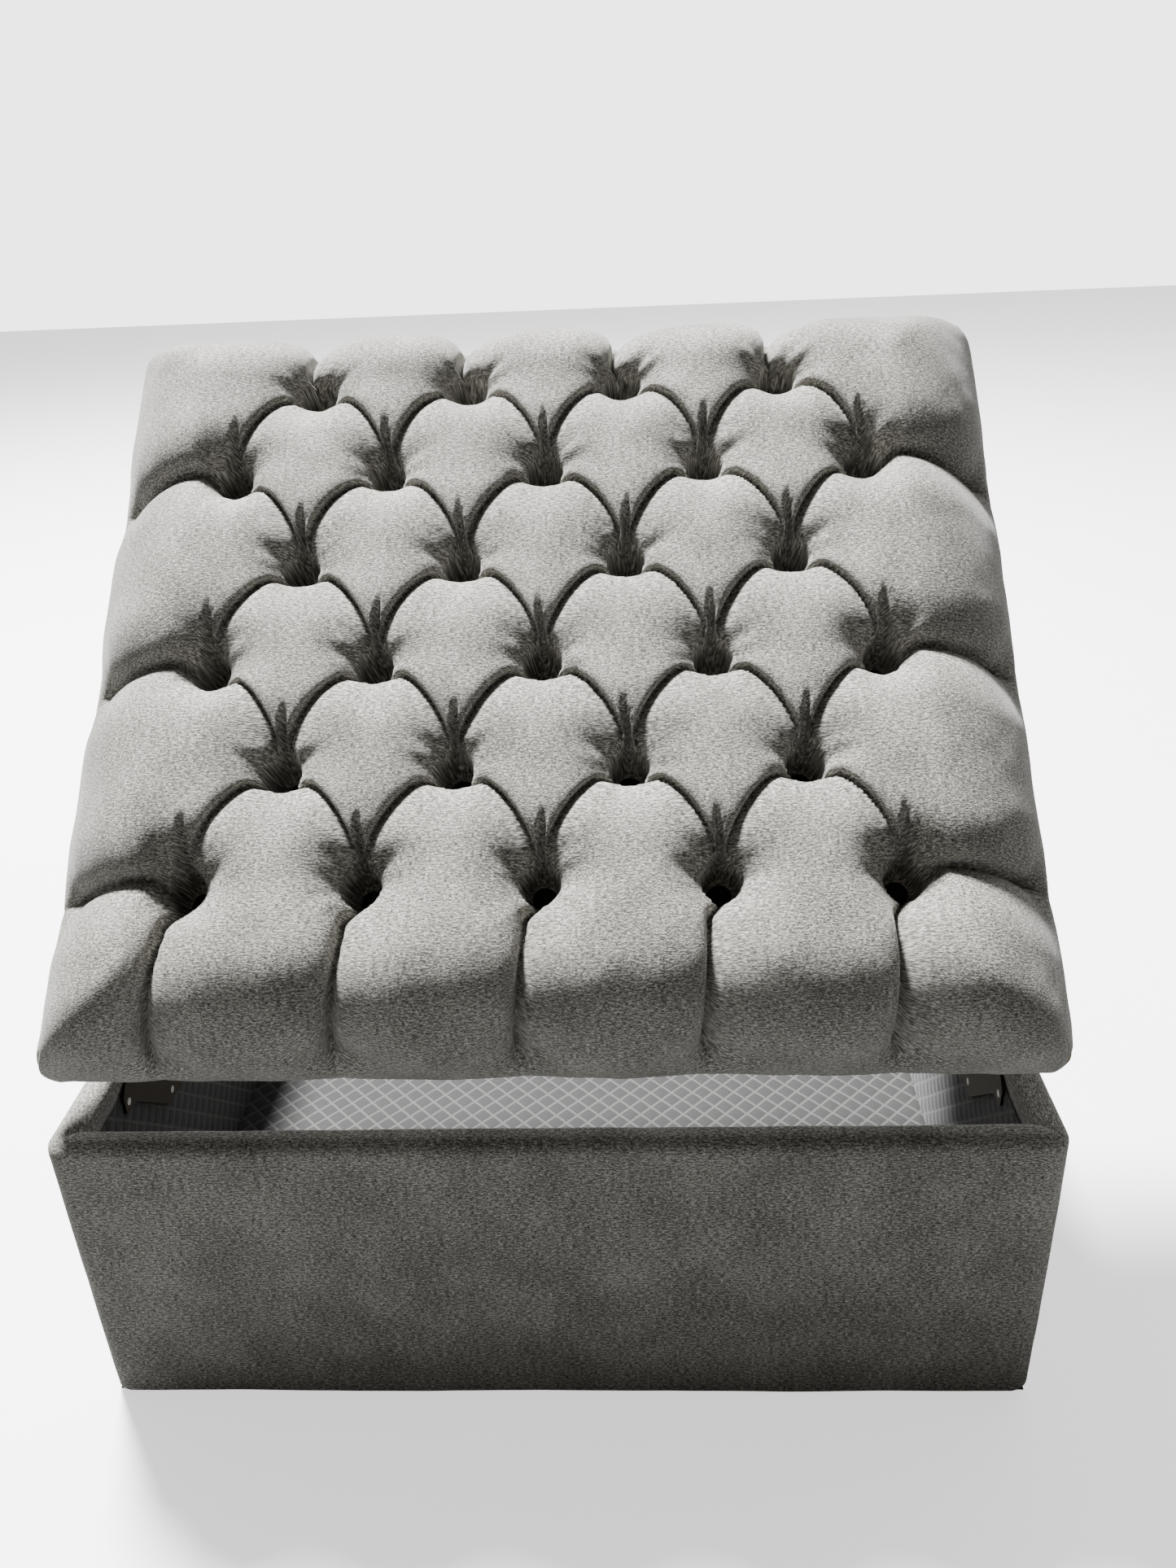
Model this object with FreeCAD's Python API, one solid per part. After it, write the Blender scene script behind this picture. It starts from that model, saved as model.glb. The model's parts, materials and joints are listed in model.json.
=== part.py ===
import FreeCAD, Part
import math
import os

# Storage ottoman: an upholstered box with a deep-buttoned lid on a pair of four-bar lift hinges.
# Millimetres. +Z is up, -Y is the opening side, +Y is the hinge side.
# The origin is the centre of the middle glide's foot, on the floor under the box's centre.
# The lid is modelled closed and then carried to its rest pose, held open at REST_TILT.

os.makedirs("parts", exist_ok=True)

# --- driving dimensions -------------------------------------------------------------------
BOX_WIDTH = 900.0
BOX_DEPTH = 770.0
BOX_HEIGHT = 322.0

COVER_THICK = 5.0           # fabric with its wadding, over the box's outer faces
PANEL_THICK = 18.0
LINING_THICK = 5.0          # quilted lining on the walls
BOX_CORNER_R = 18.0
RIM_EDGE_R = 8.0
RIM_FABRIC = 4.0            # fabric over the top of the rim
RIM_FOAM_HEIGHT = 12.0
RIM_RETURN = 40.0           # how far the rim's fabric is turned down inside

GLIDE_HEIGHT = 4.0
GLIDE_R = 12.0
NAIL_R = 1.25
NAIL_LENGTH = 14.0
DUST_COVER_THICK = 1.0
BATTEN = 20.0
CORNER_BLOCK = 45.0
BASE_THICK = 9.0
FLOOR_LINING_THICK = 3.0

LID_WIDTH = 906.0
LID_DEPTH = 778.0
LID_HEIGHT = 118.0
LID_GAP = 0.6               # between the closed lid and the rim
LID_CORNER_R = 18.0
LID_CROWN_R = 45.0
LID_COVER_THICK = 3.0
UNDERSIDE_THICK = 1.5
LID_BOARD_THICK = 15.0

BUTTON_PITCH = 155.0        # along a row
ROW_SPACING = 104.8
FIRST_ROW = 152.0           # from the lid's hinge-side edge to the first row
ROW_COUNTS = (5, 4, 5, 4, 5, 4)
BUTTON_R = 11.0
BUTTON_HEIGHT = 8.0
BUTTON_SEAT = 35.0          # above the lid's underside
WELL_R = 12.5
TIE_R = 0.8

# Lift hinge, in a plane along a side wall: each point is (distance in from the box's
# hinge-side face, height above the lid's closed underside).
REST_TILT = 43.0
MAX_TILT = 63.0
REST_EDGE_SHIFT = (40.0, 39.0)   # where the lid's hinge-side edge goes from closed to rest
LID_PIVOT = (42.0, -22.0)        # rear arm's pin in the lid bracket, lid closed
WALL_PIVOT_HEIGHT = -28.0        # rear arm's pin in the wall plate
FRONT_WALL_PIVOT = (220.0, -90.0)
FRONT_LID_PIVOT = (56.0, -50.0)

PLATE_THICK = 2.5
ARM_THICK = 3.0
SIDE_GAP = 0.3              # sideways, between a plate and an arm
ARM_END_R = 9.0
PIN_R = 3.0
PIN_CLEARANCE = 0.05
OPEN_PIN_CLEARANCE = 2.5    # round the front arm's lid pin, which takes up the linkage's play
HEAD_THICK = 2.0
HEAD_R = 6.0
OPEN_HEAD_R = 8.0
BRACKET_FLANGE_DEPTH = 25.0
BRACKET_LENGTH = 150.0
SCREW_R = 1.9
SCREW_HEAD_R = 3.8
SCREW_GAP = 0.15            # round a screw, nail or tie in its hole
PANEL_SCREW_SINK = 1.5
PANEL_SCREW_LENGTH = 45.0

# --- places worked out from them ----------------------------------------------------------
HALF_W = BOX_WIDTH / 2
HALF_D = BOX_DEPTH / 2
PANEL_OUT_X = HALF_W - COVER_THICK
PANEL_OUT_Y = HALF_D - COVER_THICK
PANEL_IN_X = PANEL_OUT_X - PANEL_THICK
PANEL_IN_Y = PANEL_OUT_Y - PANEL_THICK
INNER_X = PANEL_IN_X - LINING_THICK
INNER_Y = PANEL_IN_Y - LINING_THICK
WOOD_BOTTOM = GLIDE_HEIGHT + DUST_COVER_THICK
BASE_BOTTOM = WOOD_BOTTOM + BATTEN
BASE_TOP = BASE_BOTTOM + BASE_THICK
PANEL_TOP = BOX_HEIGHT - RIM_FABRIC - RIM_FOAM_HEIGHT
LINING_TOP = BOX_HEIGHT - RIM_RETURN
LID_BOTTOM = BOX_HEIGHT + LID_GAP
BOARD_TOP = UNDERSIDE_THICK + LID_BOARD_THICK

X_AXIS = FreeCAD.Vector(1, 0, 0)


# --- helpers ------------------------------------------------------------------------------
def block(x0, x1, y0, y1, z0, z1):
    corner = FreeCAD.Vector(min(x0, x1), min(y0, y1), min(z0, z1))
    return Part.makeBox(abs(x1 - x0), abs(y1 - y0), abs(z1 - z0), corner)


def rod(radius, start, end):
    axis = end - start
    return Part.makeCylinder(radius, axis.Length, start, axis)


def cone(radius0, radius1, start, end):
    axis = end - start
    return Part.makeCone(radius0, radius1, axis.Length, start, axis)


def fillet_where(shape, radius, wanted):
    edges = [edge for edge in shape.Edges if wanted(edge)]
    return shape.makeFillet(radius, edges)


def is_upright(edge):
    first = edge.Vertexes[0].Point
    last = edge.Vertexes[-1].Point
    return math.hypot(first.x - last.x, first.y - last.y) < 0.01 and abs(first.z - last.z) > 0.5


def edge_at_height(height):
    def wanted(edge):
        return all(abs(vertex.Point.z - height) < 0.01 for vertex in edge.Vertexes)
    return wanted


def rounded_block(half_x, y0, y1, z0, z1, corner_r):
    return fillet_where(block(-half_x, half_x, y0, y1, z0, z1), corner_r, is_upright)


def group(shapes):
    return Part.makeCompound(shapes)


def export(node, shape):
    shape.exportStep("parts/" + node + ".step")


# --- lift hinge geometry ------------------------------------------------------------------
def turn(point, degrees):
    angle = math.radians(degrees)
    cos_a = math.cos(angle)
    sin_a = math.sin(angle)
    return (point[0] * cos_a - point[1] * sin_a, point[0] * sin_a + point[1] * cos_a)


def at_rest(point):
    """Where a point of the closed lid is when the lid stands at its rest tilt."""
    turned = turn(point, REST_TILT)
    return (turned[0] + REST_EDGE_SHIFT[0], turned[1] + REST_EDGE_SHIFT[1])


def direction(start, end):
    return math.degrees(math.atan2(end[1] - start[1], end[0] - start[0]))


def equidistant_point(first, second, height):
    """The point at this height that is as far from the first point as from the second."""
    middle = ((first[0] + second[0]) / 2, (first[1] + second[1]) / 2)
    run = second[0] - first[0]
    rise = second[1] - first[1]
    return (middle[0] - (height - middle[1]) * rise / run, height)


LID_PIVOT_REST = at_rest(LID_PIVOT)
WALL_PIVOT = equidistant_point(LID_PIVOT, LID_PIVOT_REST, WALL_PIVOT_HEIGHT)
REAR_SWING = direction(WALL_PIVOT, LID_PIVOT) - direction(WALL_PIVOT, LID_PIVOT_REST)
REAR_SWING_PER_DEGREE = REAR_SWING / REST_TILT


def front_pivot_at(tilt):
    """The front arm's lid pin, as the rear arm and its coupling to the lid carry it."""
    arm = (LID_PIVOT[0] - WALL_PIVOT[0], LID_PIVOT[1] - WALL_PIVOT[1])
    swung = turn(arm, -REAR_SWING_PER_DEGREE * tilt)
    reach = turn((FRONT_LID_PIVOT[0] - LID_PIVOT[0], FRONT_LID_PIVOT[1] - LID_PIVOT[1]), tilt)
    return (WALL_PIVOT[0] + swung[0] + reach[0], WALL_PIVOT[1] + swung[1] + reach[1])


# The front arm's length and swing are the averages over the travel, so the play at its lid
# pin is shared out evenly.
TRAVEL = [MAX_TILT * step / 26.0 for step in range(27)]
FRONT_PIVOT_PATH = [front_pivot_at(tilt) for tilt in TRAVEL]
FRONT_ARM_LENGTH = sum(math.dist(FRONT_WALL_PIVOT, point) for point in FRONT_PIVOT_PATH) / len(TRAVEL)
FRONT_DIRECTIONS = [direction(FRONT_WALL_PIVOT, point) for point in FRONT_PIVOT_PATH]
MEAN_TILT = sum(TRAVEL) / len(TRAVEL)
MEAN_DIRECTION = sum(FRONT_DIRECTIONS) / len(TRAVEL)
FRONT_SWING_PER_DEGREE = -(
    sum((tilt - MEAN_TILT) * (angle - MEAN_DIRECTION) for tilt, angle in zip(TRAVEL, FRONT_DIRECTIONS))
    / sum((tilt - MEAN_TILT) ** 2 for tilt in TRAVEL)
)


def front_arm_end(tilt):
    angle = math.radians(MEAN_DIRECTION - FRONT_SWING_PER_DEGREE * (tilt - MEAN_TILT))
    return (
        FRONT_WALL_PIVOT[0] + FRONT_ARM_LENGTH * math.cos(angle),
        FRONT_WALL_PIVOT[1] + FRONT_ARM_LENGTH * math.sin(angle),
    )


def hinge_point(x, point):
    """A point of the hinge plane in the object's frame."""
    return FreeCAD.Vector(x, HALF_D - point[0], LID_BOTTOM + point[1])


def lid_to_rest(shape):
    """Carry a piece of the closed lid to the rest pose: turn about the lid pin, then move it."""
    carried = shape.copy()
    pin = hinge_point(0, LID_PIVOT)
    carried.rotate(pin, X_AXIS, -REST_TILT)
    carried.translate(hinge_point(0, LID_PIVOT_REST) - pin)
    return carried


# --- lid pieces, modelled closed ----------------------------------------------------------
def lid_block(inset, z0, z1):
    """A slab of the lid, inset from its outer faces, between two heights over its underside."""
    rear = HALF_D - inset
    front = HALF_D - LID_DEPTH + inset
    return rounded_block(
        LID_WIDTH / 2 - inset, front, rear, LID_BOTTOM + z0, LID_BOTTOM + z1, LID_CORNER_R - inset
    )


def crowned_block(inset, z0, z1, crown_r):
    slab = lid_block(inset, z0, z1)
    return fillet_where(slab, crown_r, edge_at_height(LID_BOTTOM + z1))


def button_places(row):
    count = ROW_COUNTS[row]
    y = HALF_D - FIRST_ROW - row * ROW_SPACING
    return [((column - (count - 1) / 2) * BUTTON_PITCH, y) for column in range(count)]


ALL_BUTTON_PLACES = [place for row in range(len(ROW_COUNTS)) for place in button_places(row)]


def upright_rods(radius, z0, z1):
    """One upright rod at each button, between two heights over the lid's underside."""
    return group([
        rod(radius, FreeCAD.Vector(x, y, LID_BOTTOM + z0), FreeCAD.Vector(x, y, LID_BOTTOM + z1))
        for x, y in ALL_BUTTON_PLACES
    ])


def button(x, y):
    """A covered button: a domed cap over a flat back."""
    seat = LID_BOTTOM + BUTTON_SEAT
    rim = 2.0
    dome = BUTTON_HEIGHT - rim
    sphere_r = (BUTTON_R ** 2 + dome ** 2) / (2 * dome)
    centre = FreeCAD.Vector(x, y, seat + BUTTON_HEIGHT - sphere_r)
    blank = rod(BUTTON_R, FreeCAD.Vector(x, y, seat), FreeCAD.Vector(x, y, seat + BUTTON_HEIGHT))
    return blank.common(Part.makeSphere(sphere_r, centre))


def make_lid_soft_parts():
    wells_in_foam = upright_rods(WELL_R + LID_COVER_THICK, BUTTON_SEAT - LID_COVER_THICK, LID_HEIGHT + 5)
    wells_in_cover = upright_rods(WELL_R, BUTTON_SEAT, LID_HEIGHT + 5)
    tie_holes = upright_rods(TIE_R + SCREW_GAP, -5, BUTTON_SEAT + 5)
    foam_top = LID_HEIGHT - LID_COVER_THICK
    foam = crowned_block(LID_COVER_THICK, BOARD_TOP, foam_top, LID_CROWN_R - LID_COVER_THICK)
    foam = foam.cut(wells_in_foam)
    cover = crowned_block(0, 0, LID_HEIGHT, LID_CROWN_R)
    cover = cover.cut(wells_in_cover)
    cover = cover.cut(foam)
    cover = cover.cut(lid_block(LID_COVER_THICK, 0, BOARD_TOP))
    return foam.cut(tie_holes), cover.cut(tie_holes)


def bracket_screw_places(side):
    """Four screws up through each bracket's flange, two by two."""
    x = side * (bracket_inner_x() - BRACKET_FLANGE_DEPTH * 0.55)
    first = HALF_D - LID_PIVOT[0] - 8.0
    return [(x, first - step * (BRACKET_LENGTH - 30.0) / 3) for step in range(4)]


def bracket_screw(x, y, grow=0.0):
    """Pan-headed screw from under the flange up into the lid board."""
    under = LID_BOTTOM - PLATE_THICK
    tip = LID_BOTTOM + BOARD_TOP - 3.0
    shank = rod(SCREW_R + grow, FreeCAD.Vector(x, y, under - grow), FreeCAD.Vector(x, y, tip + grow))
    if grow:
        return shank
    head = rod(SCREW_HEAD_R, FreeCAD.Vector(x, y, under - 1.8), FreeCAD.Vector(x, y, under))
    return shank.fuse(head).removeSplitter()


def make_lid_board(screw_holes):
    board = lid_block(LID_COVER_THICK, UNDERSIDE_THICK, BOARD_TOP)
    return board.cut(upright_rods(TIE_R + SCREW_GAP, -5, BUTTON_SEAT)).cut(screw_holes)


# --- hinge pieces; side is -1 for left and +1 for right -----------------------------------
def plate_outer_x():
    return INNER_X


def arm_outer_x():
    return INNER_X - PLATE_THICK - SIDE_GAP


def bracket_outer_x():
    return arm_outer_x() - ARM_THICK - SIDE_GAP


def bracket_inner_x():
    return bracket_outer_x() - PLATE_THICK


def front_arm_outer_x():
    return bracket_inner_x() - SIDE_GAP


def disc(side, outer_x, thickness, point, radius):
    start = hinge_point(side * outer_x, point)
    return rod(radius, start, start - X_AXIS * (side * thickness))


def strip(side, outer_x, thickness, start, end, radius):
    """A flat bar with round ends between two points of the hinge plane."""
    length = math.dist(start, end)
    normal = (-(end[1] - start[1]) / length * radius, (end[0] - start[0]) / length * radius)
    corners = [
        (start[0] + normal[0], start[1] + normal[1]),
        (end[0] + normal[0], end[1] + normal[1]),
        (end[0] - normal[0], end[1] - normal[1]),
        (start[0] - normal[0], start[1] - normal[1]),
    ]
    bar = plate(side, outer_x, thickness, corners)
    ends = [disc(side, outer_x, thickness, point, radius) for point in (start, end)]
    return bar.multiFuse(ends).removeSplitter()


def plate(side, outer_x, thickness, corners):
    points = [hinge_point(side * outer_x, corner) for corner in corners]
    face = Part.Face(Part.makePolygon(points + [points[0]]))
    return face.extrude(X_AXIS * (-side * thickness))


WALL_PLATE_SCREWS = (
    (WALL_PIVOT[0] - 24, WALL_PIVOT_HEIGHT - 16),
    (WALL_PIVOT[0] + 22, WALL_PIVOT_HEIGHT - 8),
    (FRONT_WALL_PIVOT[0] - 20, FRONT_WALL_PIVOT[1] - 14),
    (FRONT_WALL_PIVOT[0] + 14, FRONT_WALL_PIVOT[1] + 24),
)


def wall_plate(side):
    rear_s, rear_z = WALL_PIVOT
    front_s, front_z = FRONT_WALL_PIVOT
    outline = (
        (rear_s - 33, rear_z - 6), (rear_s - 14, rear_z + 13), (rear_s + 30, rear_z + 13),
        (front_s + 26, front_z + 36), (front_s + 26, front_z - 24), (front_s - 32, front_z - 24),
        (rear_s - 12, rear_z - 26), (rear_s - 33, rear_z - 26),
    )
    shape = plate(side, plate_outer_x(), PLATE_THICK, outline)
    shape = fillet_where(shape, 6.0, lambda edge: abs(edge.Length - PLATE_THICK) < 0.01)
    for point in (WALL_PIVOT, FRONT_WALL_PIVOT):
        shape = shape.cut(disc(side, plate_outer_x(), PLATE_THICK, point, PIN_R))
    for point in WALL_PLATE_SCREWS:
        shape = shape.cut(wall_screw(side, point, SCREW_GAP))
    return shape


def wall_screw(side, point, grow=0.0):
    """Countersunk screw through the wall plate and the lining into the side panel."""
    face = hinge_point(side * (plate_outer_x() - PLATE_THICK), point)
    outward = X_AXIS * side
    tip = face + outward * (PLATE_THICK + LINING_THICK + 14.0 + grow)
    head = cone(SCREW_HEAD_R + grow, SCREW_R + grow, face, face + outward * 2.0)
    return head.fuse(rod(SCREW_R + grow, face, tip)).removeSplitter()


def pin(side, foot_x, head_x, point, head_r):
    """A pin across the hinge plane, from its foot to a head on its far end."""
    start = hinge_point(side * foot_x, point)
    end = hinge_point(side * head_x, point)
    beyond = end + (end - start).normalize() * HEAD_THICK
    return rod(PIN_R, start, end).fuse(rod(head_r, end, beyond)).removeSplitter()


def rear_wall_pin(side):
    """Fixed in the wall plate, with its head inside the rear arm."""
    return pin(side, plate_outer_x(), arm_outer_x() - ARM_THICK - SIDE_GAP, WALL_PIVOT, HEAD_R)


def front_wall_pin(side):
    """Fixed in the wall plate, with a collar that carries the front arm past the lid bracket."""
    shape = pin(side, plate_outer_x(), front_arm_outer_x() - ARM_THICK - SIDE_GAP, FRONT_WALL_PIVOT, HEAD_R)
    collar_length = plate_outer_x() - PLATE_THICK - front_arm_outer_x() - SIDE_GAP
    collar = disc(side, plate_outer_x() - PLATE_THICK, collar_length, FRONT_WALL_PIVOT, HEAD_R)
    return shape.fuse(collar).removeSplitter()


def rear_lid_pin(side):
    """Fixed in the lid bracket, with its head on the rear arm's wall side."""
    return pin(side, bracket_inner_x(), arm_outer_x() + SIDE_GAP, LID_PIVOT, HEAD_R)


def front_lid_pin(side):
    """Fixed in the lid bracket, with its head inside the front arm."""
    head_x = front_arm_outer_x() - ARM_THICK - SIDE_GAP
    return pin(side, bracket_outer_x(), head_x, FRONT_LID_PIVOT, OPEN_HEAD_R)


def arm(side, outer_x, start, end, end_clearance):
    """A link from its wall pin to its lid pin, as it lies at rest."""
    shape = strip(side, outer_x, ARM_THICK, start, end, ARM_END_R)
    shape = shape.cut(disc(side, outer_x, ARM_THICK, start, PIN_R + PIN_CLEARANCE))
    return shape.cut(disc(side, outer_x, ARM_THICK, end, PIN_R + end_clearance))


def lid_bracket(side):
    """Angle plate: a flange under the lid and a web that hangs down to the two lid pins."""
    web_rear = LID_PIVOT[0] - ARM_END_R
    web_corners = (
        (web_rear, 0.0), (web_rear, LID_PIVOT[1] - 3.0),
        (FRONT_LID_PIVOT[0] - ARM_END_R, FRONT_LID_PIVOT[1] - 3.0),
        (FRONT_LID_PIVOT[0] + ARM_END_R, FRONT_LID_PIVOT[1] - 3.0),
        (FRONT_LID_PIVOT[0] + 26.0, -PLATE_THICK - 6.0), (web_rear + BRACKET_LENGTH, -PLATE_THICK - 6.0),
        (web_rear + BRACKET_LENGTH, 0.0),
    )
    web = plate(side, bracket_outer_x(), PLATE_THICK, web_corners)
    foot = disc(side, bracket_outer_x(), PLATE_THICK, FRONT_LID_PIVOT, ARM_END_R)
    rear = HALF_D - web_rear
    flange = block(
        side * bracket_outer_x(), side * (bracket_outer_x() - BRACKET_FLANGE_DEPTH),
        rear - BRACKET_LENGTH, rear, LID_BOTTOM - PLATE_THICK, LID_BOTTOM,
    )
    shape = web.multiFuse([foot, flange]).removeSplitter()
    for point in (LID_PIVOT, FRONT_LID_PIVOT):
        shape = shape.cut(disc(side, bracket_outer_x(), PLATE_THICK, point, PIN_R))
    return shape


# --- box pieces ---------------------------------------------------------------------------
def panel_screw(side_x, side_y, z, grow=0.0):
    """Sunk screw through a side panel into the end of the front or rear panel."""
    y = side_y * (PANEL_OUT_Y - PANEL_THICK * 0.6)
    face = FreeCAD.Vector(side_x * (PANEL_OUT_X - PANEL_SCREW_SINK), y, z)
    inward = X_AXIS * -side_x
    head = cone(SCREW_HEAD_R + grow, SCREW_R + grow, face, face + inward * 3.0)
    shape = head.fuse(rod(SCREW_R + grow, face, face + inward * (PANEL_SCREW_LENGTH + grow)))
    if grow:
        shape = shape.fuse(rod(SCREW_HEAD_R + grow, face - inward * (PANEL_SCREW_SINK + 1.0), face))
    return shape.removeSplitter()


PANEL_SCREW_PLACES = [
    (side_x, side_y, z) for side_x in (-1, 1) for side_y in (-1, 1) for z in (60.0, 165.0, 270.0)
]
GLIDE_X = PANEL_IN_X - CORNER_BLOCK / 2
GLIDE_Y = PANEL_IN_Y - CORNER_BLOCK / 2
GLIDE_PLACES = [(0.0, 0.0)] + [(sx * GLIDE_X, sy * GLIDE_Y) for sx in (-1, 1) for sy in (-1, 1)]


def nails(grow=0.0):
    top = GLIDE_HEIGHT + NAIL_LENGTH + grow
    return group([
        rod(NAIL_R + grow, FreeCAD.Vector(x, y, GLIDE_HEIGHT), FreeCAD.Vector(x, y, top))
        for x, y in GLIDE_PLACES
    ])


def make_glides():
    feet = []
    for x, y in GLIDE_PLACES:
        foot = rod(GLIDE_R, FreeCAD.Vector(x, y, 0), FreeCAD.Vector(x, y, GLIDE_HEIGHT))
        feet.append(fillet_where(foot, 1.2, edge_at_height(0)))
    return group(feet)


def make_box_cover():
    """Fabric and wadding: outer faces, the rolled top of the rim and the turn-down inside."""
    shape = rounded_block(HALF_W, -HALF_D, HALF_D, GLIDE_HEIGHT, BOX_HEIGHT, BOX_CORNER_R)
    shape = shape.cut(block(-INNER_X, INNER_X, -INNER_Y, INNER_Y, 0, BOX_HEIGHT + 5))
    shape = fillet_where(shape, RIM_EDGE_R, edge_at_height(BOX_HEIGHT))
    core = block(-PANEL_OUT_X, PANEL_OUT_X, -PANEL_OUT_Y, PANEL_OUT_Y, 0, PANEL_TOP + RIM_FOAM_HEIGHT)
    core = fillet_where(core, BOX_CORNER_R - COVER_THICK, is_upright)
    core = core.cut(block(-PANEL_IN_X, PANEL_IN_X, -PANEL_IN_Y, PANEL_IN_Y, 0, BOX_HEIGHT))
    shape = shape.cut(core)
    return shape.cut(block(-PANEL_IN_X, PANEL_IN_X, -PANEL_IN_Y, PANEL_IN_Y, 0, LINING_TOP))


def wall_ring_piece(x0, x1, y0, y1, z0, z1):
    """Part of the wooden or foam wall, with the box's outer corners rounded under the cover."""
    outline = rounded_block(PANEL_OUT_X, -PANEL_OUT_Y, PANEL_OUT_Y, z0, z1, BOX_CORNER_R - COVER_THICK)
    return block(x0, x1, y0, y1, z0, z1).common(outline)


def side_wall(side, z0, z1):
    return wall_ring_piece(side * PANEL_IN_X, side * PANEL_OUT_X, -PANEL_OUT_Y, PANEL_OUT_Y, z0, z1)


def end_wall(side, z0, z1):
    return wall_ring_piece(-PANEL_IN_X, PANEL_IN_X, side * PANEL_IN_Y, side * PANEL_OUT_Y, z0, z1)


def make_box():
    screw_cuts = group([panel_screw(*place, grow=SCREW_GAP) for place in PANEL_SCREW_PLACES])
    nail_cuts = nails(SCREW_GAP)
    for name, side in (("left", -1), ("right", 1)):
        hinge_cuts = group([wall_screw(side, point, SCREW_GAP) for point in WALL_PLATE_SCREWS])
        wall = side_wall(side, WOOD_BOTTOM, PANEL_TOP).cut(screw_cuts)
        export(name + "_panel", wall.cut(hinge_cuts))
        lining = block(side * INNER_X, side * PANEL_IN_X, -INNER_Y, INNER_Y, BASE_TOP, LINING_TOP)
        export("lining_" + name, lining.cut(hinge_cuts))
    for name, side in (("front", -1), ("rear", 1)):
        export(name + "_panel", end_wall(side, WOOD_BOTTOM, PANEL_TOP).cut(screw_cuts))
        lining = block(-PANEL_IN_X, PANEL_IN_X, side * INNER_Y, side * PANEL_IN_Y, BASE_TOP, LINING_TOP)
        export("lining_" + name, lining)
    foam_top = PANEL_TOP + RIM_FOAM_HEIGHT
    strips = [make(side, PANEL_TOP, foam_top) for make in (side_wall, end_wall) for side in (-1, 1)]
    export("rim_foam", group(strips))
    all_hinge_cuts = group([
        wall_screw(side, point, SCREW_GAP) for side in (-1, 1) for point in WALL_PLATE_SCREWS
    ])
    export("box_cover", make_box_cover().cut(all_hinge_cuts))
    export("panel_screws", group([panel_screw(*place) for place in PANEL_SCREW_PLACES]))
    base = block(-PANEL_IN_X, PANEL_IN_X, -PANEL_IN_Y, PANEL_IN_Y, BASE_BOTTOM, BASE_TOP)
    export("base_panel", base)
    floor_top = BASE_TOP + FLOOR_LINING_THICK
    export("lining_floor", block(-INNER_X, INNER_X, -INNER_Y, INNER_Y, BASE_TOP, floor_top))
    make_base_frame(nail_cuts)


def make_base_frame(nail_cuts):
    """Battens, corner blocks and middle rail under the base panel, with the glides."""
    blocks = []
    battens = []
    for side in (-1, 1):
        far_x = side * PANEL_IN_X
        far_y = side * PANEL_IN_Y
        near_x = PANEL_IN_X - CORNER_BLOCK
        near_y = PANEL_IN_Y - CORNER_BLOCK
        battens.append(block(far_x, far_x - side * BATTEN, -near_y, near_y, WOOD_BOTTOM, BASE_BOTTOM))
        battens.append(block(-near_x, near_x, far_y, far_y - side * BATTEN, WOOD_BOTTOM, BASE_BOTTOM))
        for other in (-1, 1):
            blocks.append(block(
                far_x, far_x - side * CORNER_BLOCK,
                other * PANEL_IN_Y, other * near_y, WOOD_BOTTOM, BASE_BOTTOM,
            ))
    export("base_battens", group(battens))
    export("corner_blocks", group(blocks).cut(nail_cuts))
    rail_half = PANEL_IN_X - BATTEN
    rail = block(-rail_half, rail_half, -BATTEN, BATTEN, WOOD_BOTTOM, BASE_BOTTOM)
    export("centre_rail", rail.cut(nail_cuts))
    dust = rounded_block(
        PANEL_OUT_X, -PANEL_OUT_Y, PANEL_OUT_Y, GLIDE_HEIGHT, WOOD_BOTTOM, BOX_CORNER_R - COVER_THICK
    )
    export("dust_cover", dust.cut(nail_cuts))
    export("glides", make_glides())
    export("glide_nails", nails())


def make_hinges():
    sides = (("left", -1), ("right", 1))
    for name, side in sides:
        export("wall_plate_" + name, wall_plate(side))
        rear_arm = arm(side, arm_outer_x(), WALL_PIVOT, LID_PIVOT_REST, PIN_CLEARANCE)
        export("rear_arm_" + name, rear_arm)
        front_end = front_arm_end(REST_TILT)
        front_arm = arm(side, front_arm_outer_x(), FRONT_WALL_PIVOT, front_end, OPEN_PIN_CLEARANCE)
        export("front_arm_" + name, front_arm)
    wall_pins = [make(side) for _, side in sides for make in (rear_wall_pin, front_wall_pin)]
    export("wall_pivot_pins", group(wall_pins))
    export("wall_plate_screws", group([
        wall_screw(side, point) for _, side in sides for point in WALL_PLATE_SCREWS
    ]))
    export("rear_lid_pins", lid_to_rest(group([rear_lid_pin(side) for _, side in sides])))
    export("front_lid_pins", lid_to_rest(group([front_lid_pin(side) for _, side in sides])))


def make_lid():
    foam, cover = make_lid_soft_parts()
    export("foam_pad", lid_to_rest(foam))
    export("tufted_cover", lid_to_rest(cover))
    places = [place for side in (-1, 1) for place in bracket_screw_places(side)]
    screw_holes = group([bracket_screw(x, y, SCREW_GAP) for x, y in places])
    export("lid_board", lid_to_rest(make_lid_board(screw_holes)))
    underside = lid_block(LID_COVER_THICK, 0, UNDERSIDE_THICK).cut(screw_holes)
    export("lid_underside_cover", lid_to_rest(underside))
    export("lid_bracket_screws", lid_to_rest(group([bracket_screw(x, y) for x, y in places])))
    for name, side in (("left", -1), ("right", 1)):
        export("lid_bracket_" + name, lid_to_rest(lid_bracket(side).cut(screw_holes)))
    for row, letter in enumerate("abcdef"):
        export("buttons_row_" + letter, lid_to_rest(group([button(x, y) for x, y in button_places(row)])))
    export("button_ties", lid_to_rest(upright_rods(TIE_R, UNDERSIDE_THICK, BUTTON_SEAT)))


make_box()
make_hinges()
make_lid()

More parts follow.
